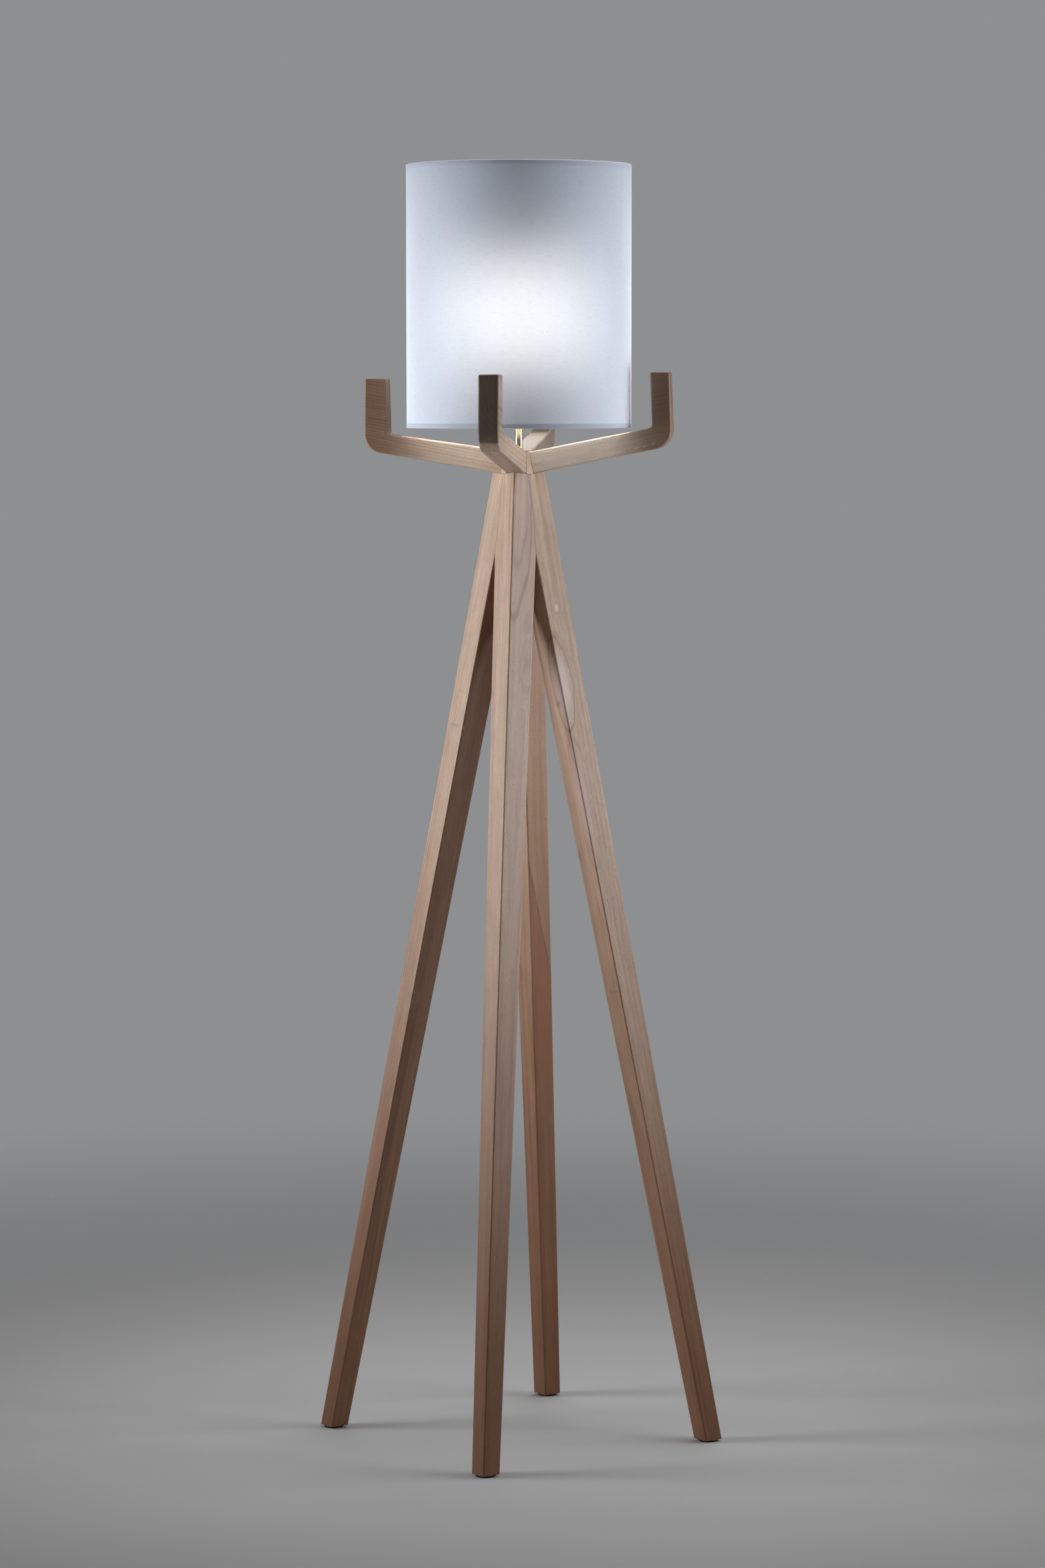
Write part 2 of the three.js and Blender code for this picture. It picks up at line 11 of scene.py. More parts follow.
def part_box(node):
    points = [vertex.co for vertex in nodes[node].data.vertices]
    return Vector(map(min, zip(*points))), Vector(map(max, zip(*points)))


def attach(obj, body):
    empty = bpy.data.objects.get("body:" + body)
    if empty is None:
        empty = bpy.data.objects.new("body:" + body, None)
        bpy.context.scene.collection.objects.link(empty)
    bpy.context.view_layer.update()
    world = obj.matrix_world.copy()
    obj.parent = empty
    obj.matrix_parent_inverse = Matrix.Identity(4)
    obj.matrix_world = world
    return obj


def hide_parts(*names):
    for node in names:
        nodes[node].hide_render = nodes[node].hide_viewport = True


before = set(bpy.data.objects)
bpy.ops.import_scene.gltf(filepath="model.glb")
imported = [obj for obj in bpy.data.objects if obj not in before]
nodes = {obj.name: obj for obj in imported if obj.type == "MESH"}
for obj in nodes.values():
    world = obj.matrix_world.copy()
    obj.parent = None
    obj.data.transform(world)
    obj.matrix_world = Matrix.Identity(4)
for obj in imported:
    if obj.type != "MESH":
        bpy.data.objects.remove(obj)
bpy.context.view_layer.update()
MM = 0.001
SIDES = {"front": -90, "right": 0, "back": 90, "left": 180}     # bearings of the legs and arms, in degrees


# Camera, stage and light

LENS = 109.67
CAMERA_BEARING = math.radians(9.68)     # how far the camera stands round from the front leg
CAMERA_DISTANCE = 6.363
CAMERA_HEIGHT = 1.401
CAMERA_TILT = math.radians(85.327)      # 90 degrees would be level
CAMERA_ROLL = math.radians(0.04)
CAMERA_PAN = math.radians(-0.044)
BACKDROP = (0.27, 0.275, 0.285)
AMBIENT = (0.013, 0.0135, 0.015)
COOL_WHITE = (0.97, 0.985, 1.0)
NARROW = 94     # spread, in degrees, of the boxes that leave the feet darker


def aim(thing, place, target):
    thing.location = place
    thing.rotation_euler = (Vector(target) - Vector(place)).to_track_quat("-Z", "Y").to_euler()


def add_camera():
    data = bpy.data.cameras.new("camera")
    data.lens = LENS
    data.sensor_width = 36
    data.clip_end = 200
    camera = bpy.data.objects.new("camera", data)
    bpy.context.scene.collection.objects.link(camera)
    camera.location = (CAMERA_DISTANCE * math.sin(CAMERA_BEARING), -CAMERA_DISTANCE * math.cos(CAMERA_BEARING),
                       CAMERA_HEIGHT)
    camera.rotation_euler = Euler((CAMERA_TILT, CAMERA_ROLL, CAMERA_BEARING + CAMERA_PAN))
    bpy.context.scene.camera = camera


def add_softbox(name, bearing, distance, height, size, power, colour, target_z, spread=160):
    """A rectangular softbox. Its bearing is counted from the camera's side, anticlockwise seen from above."""
    data = bpy.data.lights.new(name, "AREA")
    data.shape = "RECTANGLE"
    data.size, data.size_y = size
    data.energy = power
    data.color = colour
    data.spread = math.radians(spread)
    light = bpy.data.objects.new(name, data)
    bpy.context.scene.collection.objects.link(light)
    angle = CAMERA_BEARING - math.pi / 2 + math.radians(bearing)
    aim(light, (distance * math.cos(angle), distance * math.sin(angle), height), (0, 0, target_z))
    light.visible_camera = False


def add_world(lighting, backdrop):
    """Faint even light, and a plain backdrop colour where the picture sees past the floor."""
    world = bpy.data.worlds.new("studio")
    world.use_nodes = True
    tree = world.node_tree
    tree.nodes.clear()
    seen = tree.nodes.new("ShaderNodeBackground")
    seen.inputs["Color"].default_value = (*backdrop, 1)
    lit = tree.nodes.new("ShaderNodeBackground")
    lit.inputs["Color"].default_value = (*lighting, 1)
    rays = tree.nodes.new("ShaderNodeLightPath")
    mix = tree.nodes.new("ShaderNodeMixShader")
    out = tree.nodes.new("ShaderNodeOutputWorld")
    tree.links.new(rays.outputs["Is Camera Ray"], mix.inputs[0])
    tree.links.new(lit.outputs[0], mix.inputs[1])
    tree.links.new(seen.outputs[0], mix.inputs[2])
    tree.links.new(mix.outputs[0], out.inputs[0])
    bpy.context.scene.world = world


# Materials

class Shader:
    """A material on one Principled shader, with short calls for the nodes that feed it."""

    def __init__(self, name, **settings):
        self.material = bpy.data.materials.new(name)
        self.material.use_nodes = True
        self.tree = self.material.node_tree
        self.bsdf = self.tree.nodes["Principled BSDF"]
        self.output = self.tree.nodes["Material Output"]
        self.coords = self.add("ShaderNodeTexCoord").outputs["Object"]
        self.set(**settings)

    def put(self, socket, value):
        if isinstance(value, bpy.types.NodeSocket):
            self.tree.links.new(value, socket)
        elif hasattr(value, "__len__") and len(value) == 3 and socket.type == "RGBA":
            socket.default_value = (*value, 1)
        else:
            socket.default_value = value

    def add(self, kind, inputs=None, **properties):
        node = self.tree.nodes.new(kind)
        for key, value in properties.items():
            setattr(node, key, value)
        for key, value in (inputs or {}).items():
            self.put(node.inputs[key], value)
        return node

    def set(self, **settings):
        for key, value in settings.items():
            self.put(self.bsdf.inputs[key.replace("_", " ")], value)

    def mapped(self, vector, scale=(1, 1, 1), place=(0, 0, 0), turn=(0, 0, 0)):
        return self.add("ShaderNodeMapping", {"Vector": vector, "Location": place, "Rotation": turn,
                                              "Scale": scale}).outputs[0]

    def noise(self, vector, scale, detail=2.0, roughness=0.5, output="Fac"):
        return self.add("ShaderNodeTexNoise", {
            "Vector": vector, "Scale": scale, "Detail": detail, "Roughness": roughness}).outputs[output]

    def stretched(self, vector, scale, detail, roughness=0.5, place=(0, 0, 0)):
        """Noise with a fineness of its own along each axis."""
        return self.noise(self.mapped(vector, scale=scale, place=place), 1, detail, roughness)

    def math(self, operation, a, b=0.0):
        return self.add("ShaderNodeMath", {0: a, 1: b}, operation=operation).outputs[0]

    def plus(self, first, *others):
        for other in others:
            first = self.math("ADD", first, other)
        return first

    def times(self, first, *others):
        for other in others:
            first = self.math("MULTIPLY", first, other)
        return first

    def bell(self, value):
        """1 where a value is 0, and falling off smoothly on both sides."""
        return self.math("EXPONENT", self.times(value, value, -1.0))

    def vector(self, operation, a, b=(0, 0, 0), output=0):
        return self.add("ShaderNodeVectorMath", {0: a, 1: b}, operation=operation).outputs[output]

    def scaled(self, vector, factor):
        return self.add("ShaderNodeVectorMath", {0: vector, "Scale": factor}, operation="SCALE").outputs[0]

    def range(self, value, low, high, to_low=0.0, to_high=1.0, smooth=True):
        return self.add("ShaderNodeMapRange", {
            "Value": value, "From Min": low, "From Max": high, "To Min": to_low, "To Max": to_high,
        }, interpolation_type="SMOOTHSTEP" if smooth else "LINEAR").outputs[0]

    def mix(self, factor, a, b, blend="MIX"):
        node = self.add("ShaderNodeMix", data_type="RGBA", blend_type=blend, clamp_factor=True)
        self.put(node.inputs[0], factor)
        self.put(node.inputs[6], a)
        self.put(node.inputs[7], b)
        return node.outputs[2]

    def bump(self, height, distance, strength=1.0):
        node = self.add("ShaderNodeBump", {"Height": height, "Distance": distance, "Strength": strength})
        self.put(self.bsdf.inputs["Normal"], node.outputs[0])
        return node.outputs[0]

    def beyond(self, normal, offset, softness, ragged=0.0):
        """1 on the far side of a plane, and 0 on its near side."""
        reach = self.math("SUBTRACT", self.vector("DOT_PRODUCT", self.coords, normal, output="Value"), offset)
        if ragged:
            sway = self.stretched(self.coords, (90, 90, 16), 3.0)
            reach = self.plus(reach, self.times(self.math("SUBTRACT", sway, 0.5), ragged))
        return self.range(reach, -softness, softness)

    def spindle(self, local, place, length, width):
        """Distance from a spindle's middle that lies along the grain: 1 at its skin."""
        scale = (1 / width, 1 / width, 1 / length)
        shape = self.mapped(local, scale=scale, place=[-p * k for p, k in zip(place, scale)])
        return self.vector("LENGTH", shape, output="Value")


KNOT_LINE = 0.75 * MM   # half the width of the dark line round a knot
DARK_KNOT = (0.140, 0.075, 0.045)


def wood(name, origin, along, seed, light=(0.57, 0.405, 0.295), dark=(0.29, 0.165, 0.100),
         spacing=3.4 * MM, pith=(0.034, 0.021), tilt=0.012, figure=0.56, knots=(), zones=()):
    """Straight-grained satin wood. Its grain runs along a direction, and its growth rings, as strong as figure
    says, are centred beside the piece.
    A knot is (middle, length, width, rings, tone, amount, outline): rings flow round it, its heart takes the tone,
    and a dark line bounds it.
    A zone is (planes, tone, amount, blend): the wood beyond all of its planes takes the tone."""
    s = Shader(name, Coat_Weight=0.16, Coat_Roughness=0.34, Specular_IOR_Level=0.4)
    turn = Vector(along).to_track_quat("Z", "Y").inverted()
    start = seed * 3.7
    shift = Vector((0, 0, start))
    local = s.mapped(s.coords, place=turn @ (-Vector(origin)) + shift, turn=turn.to_euler())

    # The distance from the pith, in rings: the grain sways and leans a little
    sway = s.noise(s.mapped(local, scale=(11, 11, 1.5)), 1, 2.5, output="Color")
    swayed = s.vector("ADD", local, s.scaled(s.vector("SUBTRACT", sway, (0.5, 0.5, 0.5)), 0.019))
    split = s.add("ShaderNodeSeparateXYZ", {0: swayed})
    across = s.plus(s.times(s.math("SUBTRACT", split.outputs[2], start), tilt), split.outputs[0])
    flat = s.add("ShaderNodeCombineXYZ", {0: s.math("SUBTRACT", across, pith[0]),
                                          1: s.math("SUBTRACT", split.outputs[1], pith[1])}).outputs[0]
    radius = s.math("DIVIDE", s.vector("LENGTH", flat, output="Value"), spacing)
    hearts = []
    for middle, length, width, rings, tone, amount, outline in knots:
        reach = s.spindle(local, turn @ (Vector(middle) - Vector(origin)) + shift, length, width)
        if rings:
            radius = s.plus(radius, s.times(s.bell(reach), rings))
        hearts.append((s.times(s.range(reach, 1.15, 0.2), amount), tone))
        if outline:
            ragged = s.range(s.stretched(local, (60, 60, 9), 3.0), 0.3, 0.7, -1.6, 1.6)
            gap = s.plus(s.times(s.math("SUBTRACT", reach, 1.0), width / KNOT_LINE), ragged)
            hearts.append((s.times(s.bell(gap), outline), DARK_KNOT))

    # Late wood, darkest at each ring's end, then streaks, fibres and pores
    ring = s.math("FRACT", s.plus(radius, s.stretched(local, (30, 30, 3), 1.0)))
    late = s.times(s.range(ring, 0.25, 0.93), s.range(ring, 1.0, 0.94))
    strength = s.range(s.stretched(local, (24, 24, 1.1), 2.0), 0.36, 0.66, 0.20, 1.0)
    streaks = s.range(s.stretched(local, (210, 210, 5), 4.0, 0.62), 0.34, 0.72)
    broad = s.range(s.stretched(local, (38, 38, 1.5), 3.0, 0.55), 0.34, 0.70)
    mottle = s.range(s.stretched(local, (46, 46, 26), 3.0, 0.6), 0.36, 0.70)
    fibre = s.stretched(local, (1100, 1100, 34), 3.0, 0.7)
    pores = s.range(s.stretched(local, (1500, 1500, 260), 1.0), 0.62, 0.72)
    depth = s.plus(s.times(late, strength, figure), s.times(streaks, 0.30), s.times(broad, 0.36),
                   s.times(mottle, 0.14))
    colour = s.mix(depth, light, dark)
    colour = s.mix(s.range(fibre, 0.30, 0.72, 0.0, 0.34, smooth=False), colour, (0.21, 0.125, 0.082))
    colour = s.mix(s.times(pores, 0.40), colour, (0.115, 0.062, 0.038))
    for planes, tone, amount, blend in zones:
        inside = s.times(amount, *(s.beyond(*plane) for plane in planes))
        colour = s.mix(inside, colour, tone, blend)
    for inside, tone in hearts:
        colour = s.mix(inside, colour, tone)
    s.set(Base_Color=colour, Roughness=s.plus(s.range(fibre, 0.3, 0.7, 0.42, 0.54), s.times(pores, 0.16)))
    s.bump(s.plus(s.times(fibre, 0.35), s.times(pores, -0.9), s.times(late, 0.22)), 0.11 * MM, 0.8)
    return s.material


def moulded(name, colour, roughness, grain=900):
    """Moulded plastic or rubber, with a fine surface texture and a little dust."""
    s = Shader(name, Specular_IOR_Level=0.45)
    fine = s.noise(s.coords, grain, 3.0, 0.6)
    cloud = s.noise(s.coords, 45, 3.0, 0.6)
    dusty = tuple(c * 0.72 + 0.02 for c in colour)
    s.set(Base_Color=s.mix(s.range(cloud, 0.35, 0.75, 0, 0.12), colour, dusty),
          Roughness=s.range(fine, 0.3, 0.7, roughness - 0.06, roughness + 0.08))
    s.bump(fine, 0.03 * MM, 0.6)
    return s.material


TARNISH = 0.25


def metal(name, colour, roughness, dull, brush=(1, 1, 1)):
    """Bare metal, with rubbed streaks and a patchy film of handling and age."""
    s = Shader(name, Metallic=1.0)
    lines = s.stretched(s.coords, tuple(900 * b for b in brush), 3.0, 0.6)
    film = s.range(s.noise(s.coords, 120, 4.0, 0.62), 0.42, 0.78)
    rubbed = s.range(lines, 0.3, 0.7, roughness * 0.75, roughness * 1.25)
    s.set(Base_Color=s.mix(s.times(film, TARNISH), colour, dull), Roughness=s.plus(rubbed, s.times(film, 0.16)))
    s.bump(lines, 0.012 * MM, 0.5)
    return s.material


def cloth(name, colour):
    """Thin plain-woven cotton that light soaks through. Thicker threads show as short level slubs."""
    s = Shader(name, Base_Color=colour, Roughness=0.9, Specular_IOR_Level=0.12, Sheen_Weight=0.06)
    split = s.add("ShaderNodeSeparateXYZ", {0: s.coords})
    height = split.outputs[2]
    around = s.times(s.math("ARCTAN2", split.outputs[0], s.times(split.outputs[1], -1)), WRAP)
    flat = s.add("ShaderNodeCombineXYZ", {0: around, 1: height, 2: 0.0}).outputs[0]

    # Where the cloth is thicker
    slubs = s.range(s.stretched(flat, (85, 1150, 1), 3.0, 0.62), 0.50, 0.74)
    warp_slubs = s.range(s.stretched(flat, (900, 45, 1), 3.0, 0.6, place=(3, 7, 0)), 0.55, 0.82)
    bands = s.range(s.stretched(flat, (9, 160, 1), 2.0, place=(9, 2, 0)), 0.3, 0.7, -0.04, 0.04)
    specks = s.range(s.stretched(flat, (330, 560, 1), 1.0, place=(1, 5, 0)), 0.70, 0.76)
    # The crease is painted shade: a dark mark with no shape of its own
    crease = s.range(s.spindle(s.coords, CREASE, 5 * MM, 1.6 * MM), 1.1, 0.5, 0.0, 2.2)
    thick = s.plus(s.times(slubs, 0.75), crease, s.times(warp_slubs, 0.30), s.times(specks, 1.3), bands)
    lower_hem = s.range(height, SHADE_LO.z + HEM + FADE, SHADE_LO.z + HEM)
    upper_hem = s.range(height, SHADE_HI.z - HEM - FADE, SHADE_HI.z - HEM)
    hems = s.math("MAXIMUM", lower_hem, upper_hem)

    # What it reflects, and what it lets through
    tint = s.mix(thick, colour, tuple(c * 0.86 for c in colour))
    # The lower hem's reflected colour is darker as well: painted shade for the doubled cloth there, which lets
    # less light through
    tint = s.mix(s.times(lower_hem, 0.30), tint, tuple(c * 0.62 for c in colour))
    s.set(Base_Color=tint)
    passing = s.times(s.math("SUBTRACT", 1.0, s.times(thick, 0.26)), s.range(hems, 0, 1, 1.0, 0.35))
    channels = {i: s.times(passing, share) for i, share in enumerate(CLOTH_PASSES)}
    shade = s.add("ShaderNodeCombineColor", channels).outputs[0]
    weft = s.math("SINE", s.times(height, 2 * math.pi / WEFT_PITCH))
    warp = s.math("SINE", s.times(around, 2 * math.pi / WARP_PITCH))
    normal = s.bump(s.plus(s.times(weft, warp, 0.35), thick), 0.10 * MM, 0.7)
    through = s.add("ShaderNodeBsdfTranslucent", {"Color": shade, "Normal": normal})
    forward = s.add("ShaderNodeBsdfRefraction", {"Color": shade, "Roughness": 1.0, "IOR": 2.4, "Normal": normal})
    soaked = s.add("ShaderNodeMixShader", {0: 0.93, 1: through.outputs[0], 2: forward.outputs[0]})
    both = s.add("ShaderNodeMixShader", {0: 0.105, 1: s.bsdf.outputs[0], 2: soaked.outputs[0]})
    s.put(s.output.inputs[0], both.outputs[0])
    return s.material


def lining_film(name):
    """White film that backs the cloth, and lets most of the light pass."""
    s = Shader(name, Base_Color=(0.9, 0.9, 0.89), Roughness=0.38, Alpha=0.22)
    fine = s.noise(s.coords, 60, 3.0, 0.6)
    s.set(Base_Color=s.mix(s.range(fine, 0.4, 0.8), (0.92, 0.92, 0.91), (0.82, 0.82, 0.80)),
          Roughness=s.range(fine, 0.3, 0.7, 0.32, 0.46))
    s.bump(s.stretched(s.coords, (40, 40, 12), 2.0), 0.12 * MM, 0.4)
    return s.material


def glowing_glass(name, colour, strength):
    """The opal envelope of a bulb that is on: brightest round its middle, greyer where the neck turns opaque."""
    s = Shader(name, Base_Color=(0.9, 0.9, 0.88), Roughness=0.22, Specular_IOR_Level=0.5)
    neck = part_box("bulb_glass")[0].z
    height = s.add("ShaderNodeSeparateXYZ", {0: s.coords}).outputs[2]
    lit = s.range(height, neck + 0.010, neck + 0.052, 0.12, 1.0)
    cloud = s.range(s.noise(s.coords, 70, 3.0), 0.3, 0.7, 0.94, 1.04)
    s.set(Emission_Color=colour, Emission_Strength=s.times(lit, cloud, strength))
    return s.material


# Shapes

def new_piece(name, vertices, faces, material, body, slot, stands_for=(), sharp=35):
    """A smooth-shaded piece that rides on a body. Its edges steeper than sharp, in degrees, stay crisp."""
    mesh = bpy.data.meshes.new(name)
    mesh.from_pydata(vertices, [], faces)
    mesh.validate()
    mesh.update()
    mesh.polygons.foreach_set("use_smooth", [True] * len(mesh.polygons))
    if sharp:
        mesh.set_sharp_from_angle(angle=math.radians(sharp))
    mesh.materials.append(material)
    piece = bpy.data.objects.new(name, mesh)
    bpy.context.scene.collection.objects.link(piece)
    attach(piece, body)
    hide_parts(*stands_for)
    return piece


def lathe(profile, segments=96, closed=True, flute=None):
    """Vertices and faces of a profile of (radius, height) in millimetres, turned about the Z axis.
    flute gives a radius to add, from a profile point's index and an angle."""
    vertices, rows = [], []
    for i, (radius, height) in enumerate(profile):
        if radius < 1e-6:
            rows.append([len(vertices)] * segments)
            vertices.append((0, 0, height * MM))
            continue
        start = len(vertices)
        for k in range(segments):
            angle = 2 * math.pi * k / segments
            r = (radius + (flute(i, angle) if flute else 0)) * MM
            vertices.append((r * math.cos(angle), r * math.sin(angle), height * MM))
        rows.append(list(range(start, start + segments)))
    pairs = list(zip(rows, rows[1:] + rows[:1])) if closed else list(zip(rows, rows[1:]))
    faces = []
    for low, high in pairs:
        for k in range(segments):
            n = (k + 1) % segments
            corners = [low[k], low[n], high[n], high[k]]
            face = [c for i, c in enumerate(corners) if c not in corners[:i]]
            if len(face) > 2:
                faces.append(face)
    return vertices, faces


def eased(profile, ease=0.35, steps=3):
    """A closed profile with its corners rounded a little."""
    points = []
    count = len(profile)
    for i, (r, z) in enumerate(profile):
        if r < 1e-6:
            points.append((r, z))
            continue
        at = Vector((r, z))
        back = Vector(profile[i - 1]) - at
        ahead = Vector(profile[(i + 1) % count]) - at
        reach = min(ease, back.length * 0.45, ahead.length * 0.45)
        a = at + back.normalized() * reach
        b = at + ahead.normalized() * reach
        for k in range(steps + 1):
            t = k / steps
            p = a * (1 - t) ** 2 + at * 2 * t * (1 - t) + b * t ** 2
            points.append((p.x, p.y))
    return points


def lifted(profile, height):
    """A profile moved up by a height."""
    return [(r, z + height) for r, z in profile]


def swept(points, radius, sides=14, closed=False):
    """Vertices and faces of a round wire along points in millimetres. radius is a number, or a function of the
    share of the way along."""
    count = len(points)
    vertices, faces = [], []
    path = [Vector(p) for p in points]
    normal = None
    for i, here in enumerate(path):
        ahead = path[(i + 1) % count] if closed or i + 1 < count else here
        behind = path[i - 1] if closed or i else here
        tangent = (ahead - behind).normalized()
        if normal is None:
            normal = tangent.orthogonal().normalized()
        normal = (normal - tangent * normal.dot(tangent)).normalized()
        side = tangent.cross(normal)
        r = radius(i / (count - 1)) if callable(radius) else radius
        for k in range(sides):
            angle = 2 * math.pi * k / sides
            p = here + (normal * math.cos(angle) + side * math.sin(angle)) * r
            vertices.append(tuple(p * MM))
    for i in range(count if closed else count - 1):
        j = (i + 1) % count
        for k in range(sides):
            n = (k + 1) % sides
            faces.append((i * sides + k, i * sides + n, j * sides + n, j * sides + k))
    if not closed:
        faces.append(tuple(reversed(range(sides))))
        faces.append(tuple(range((count - 1) * sides, count * sides)))
    return vertices, faces


def smooth_curve(points, steps=10):
    """A Catmull-Rom curve through points."""
    path = [Vector(p) for p in points]
    full = [path[0] * 2 - path[1], *path, path[-1] * 2 - path[-2]]
    out = []
    for i in range(1, len(full) - 2):
        p0, p1, p2, p3 = full[i - 1:i + 3]
        for k in range(steps):
            t = k / steps
            out.append(0.5 * (2 * p1 + (p2 - p0) * t + (2 * p0 - 5 * p1 + 4 * p2 - p3) * t ** 2
                              + (3 * p1 - p0 - 3 * p2 + p3) * t ** 3))
    out.append(path[-1])
    return out


def joined(*parts):
    """Several (vertices, faces) as one."""
    vertices, faces = [], []
    for more_vertices, more_faces in parts:
        start = len(vertices)
        vertices += more_vertices
        faces += [tuple(start + i for i in face) for face in more_faces]
    return vertices, faces


def turned_about_z(part, degrees):
    turn = Matrix.Rotation(math.radians(degrees), 3, "Z")
    return [tuple(turn @ Vector(v)) for v in part[0]], part[1]


def threaded(root, crest, pitch, bottom, top, wall, segments=72, inward=False):
    """A closed sleeve in millimetres with a screw thread on one side, which fades out at its ends. wall is the
    radius of its plain side. inward puts the thread on the inside."""
    rows = int((top - bottom) / pitch * 9) + 2
    vertices, faces = [], []
    for i in range(rows + 2):
        z = bottom + (top - bottom) * min(i, rows - 1) / (rows - 1)
        z = {rows: top, rows + 1: bottom}.get(i, z)
        fade = max(0, min(1, (z - bottom) / pitch, (top - z) / pitch))
        for k in range(segments):
            angle = 2 * math.pi * k / segments
            wave = 0.5 + 0.5 * math.cos(2 * math.pi * z / pitch - angle)
            r = wall if i >= rows else root + (crest - root) * wave * fade
            vertices.append((r * MM * math.cos(angle), r * MM * math.sin(angle), z * MM))
    for i in range(rows + 2):
        above = (i + 1) % (rows + 2)
        for k in range(segments):
            n = (k + 1) % segments
            quad = (i * segments + k, i * segments + n, above * segments + n, above * segments + k)
            faces.append(tuple(reversed(quad)) if inward else quad)
    return vertices, faces


def soften(piece, degrees=32):
    """Shades a CAD node's rounded edges smoothly, and leaves its real edges sharp."""
    weld = piece.modifiers.new("weld", "WELD")
    weld.merge_threshold = 0.02 * MM
    group = bpy.data.node_groups.get("soften") or bpy.data.node_groups.new("soften", "GeometryNodeTree")
    if not group.nodes:
        group.interface.new_socket("Geometry", in_out="INPUT", socket_type="NodeSocketGeometry")
        group.interface.new_socket("Geometry", in_out="OUTPUT", socket_type="NodeSocketGeometry")
        start = group.nodes.new("NodeGroupInput")
        end = group.nodes.new("NodeGroupOutput")
        faces = group.nodes.new("GeometryNodeSetShadeSmooth")
        edges = group.nodes.new("GeometryNodeSetShadeSmooth")
        edges.domain = "EDGE"
        edges.inputs["Shade Smooth"].default_value = False
        angle = group.nodes.new("GeometryNodeInputMeshEdgeAngle")
        steep = group.nodes.new("ShaderNodeMath")
        steep.operation = "GREATER_THAN"
        steep.inputs[1].default_value = math.radians(degrees)
        link = group.links.new
        link(start.outputs[0], faces.inputs[0])
        link(faces.outputs[0], edges.inputs[0])
        link(angle.outputs[0], steep.inputs[0])
        link(steep.outputs[0], edges.inputs["Selection"])
        link(edges.outputs[0], end.inputs[0])
    smooth = piece.modifiers.new("soften", "NODES")
    smooth.node_group = group
    flats = piece.modifiers.new("flats", "WEIGHTED_NORMAL")
    flats.mode = "FACE_AREA"
    flats.weight = 100
    flats.keep_sharp = True


def dress(name, material):
    """Gives a CAD node that stays in sight its material."""
    piece = nodes[name]
    for slot in piece.material_slots:
        slot.material = material
    soften(piece)
    return piece


# The wooden frame

def heading(side, radius, height, across=0.0):
    """A point from its distance out from the axis towards a side, its height, and how far it lies to the left of
    that line."""
    angle = math.radians(SIDES[side])
    return (radius * math.cos(angle) - across * math.sin(angle),
            radius * math.sin(angle) + across * math.cos(angle), height)


def leg_line(side):
    """Where a leg's grain starts, and which way it runs."""
    foot = Vector(heading(side, 0.257, 0))
    top = Vector(heading(side, 0.0066, 1.295))
    return foot, top - foot


HEARTWOOD = (0.245, 0.088, 0.045)
UMBER = (0.100, 0.060, 0.040)
LILAC = (0.460, 0.335, 0.305)
PALE_LILAC = (0.585, 0.460, 0.425)
PALE_KNOT = (0.640, 0.520, 0.430)
BARE_WOOD = (0.780, 0.720, 0.650)
# The side arms' pale tones are painted light, for the light that falls on them from the shade's lower opening
HUB_LIT_WOOD = (0.70, 0.555, 0.425)
HUB_LIT_FIGURE = (0.46, 0.325, 0.225)


def face_plane(name, towards):
    """The largest flat face that looks some way, as a plane just under it for a zone."""
    mesh = nodes[name].data
    face = max(mesh.polygons, key=lambda p: p.normal.dot(Vector(towards)) * p.area)
    return tuple(face.normal), face.normal.dot(face.center) - 1.2 * MM, 1.0 * MM


def scuff(x, height, length, width, amount=0.9):
    """A light scratch on the front of the right arm."""
    return ((x, -ARM_THICKNESS / 2, height), length, width, 0.0, BARE_WOOD, amount, 0.0)


ARM_THICKNESS = 0.027
ARM_RISE = 0.19     # how far an arm climbs for each metre that it reaches out

# Towards their feet the legs are darker and browner: painted shade, for the light that falls off towards the floor
FOOT_SHADE_ZONE = ([((0, 0, -1), -0.62, 0.66)], (0.55, 0.365, 0.255), 1.0, "MULTIPLY")
# The front leg is greyer on its right
GREY_ZONE = ([((1, 0, 0), 0.004, 0.003), ((0, 0, 1), 0.6, 0.5)], LILAC, 0.40, "MIX")
# The left leg's inner face is darker, most of all high up: painted shade, for the shadow that falls on that face
INNER_SHADE_ZONE = ([face_plane("leg_left", (1, -1, 0)), ((0, 0, 1), 0.50, 0.50)], (0.54, 0.41, 0.34), 1.0, "MULTIPLY")
# The back leg is cut across its heartwood, whose edge runs slantwise over one face with a dark line along it
SLANT = (-0.7071, -0.7071, -0.3421)
BACK_OF_SLANT = tuple(-n for n in SLANT)
RIGHT_OF_ARRIS = ((1, 0, 0), -0.001, 0.0012)
HEART_ZONE = ([(SLANT, -0.3209, 0.0010, 0.004), RIGHT_OF_ARRIS, ((0, 0, 1), 0.43, 0.16)], HEARTWOOD, 0.62, "MIX")
HEART_LINE = ([(SLANT, -0.3219, 0.0008, 0.004), (BACK_OF_SLANT, 0.3199, 0.0008, 0.004), RIGHT_OF_ARRIS,
               ((0, 0, 1), 0.55, 0.08)], UMBER, 0.45, "MIX")
# The front upright's outer face is dark umber: partly its own end-grain figure, partly painted shade on a face
# that gets little light. The side arms are darker away from the hub: painted shade, outside the light that falls
# from the shade's lower opening
UPRIGHT_FIGURE_AND_SHADE_ZONE = ([((0, -1, 0), 0.2030, 0.0012)], UMBER, 0.88, "MIX")
RIGHT_ARM_SHADE_ZONE = ([((1, 0, 0), 0.158, 0.040)], (0.44, 0.335, 0.275), 1.0, "MULTIPLY")
LEFT_ARM_SHADE_ZONE = ([((-1, 0, 0), 0.150, 0.050)], (0.50, 0.385, 0.315), 1.0, "MULTIPLY")

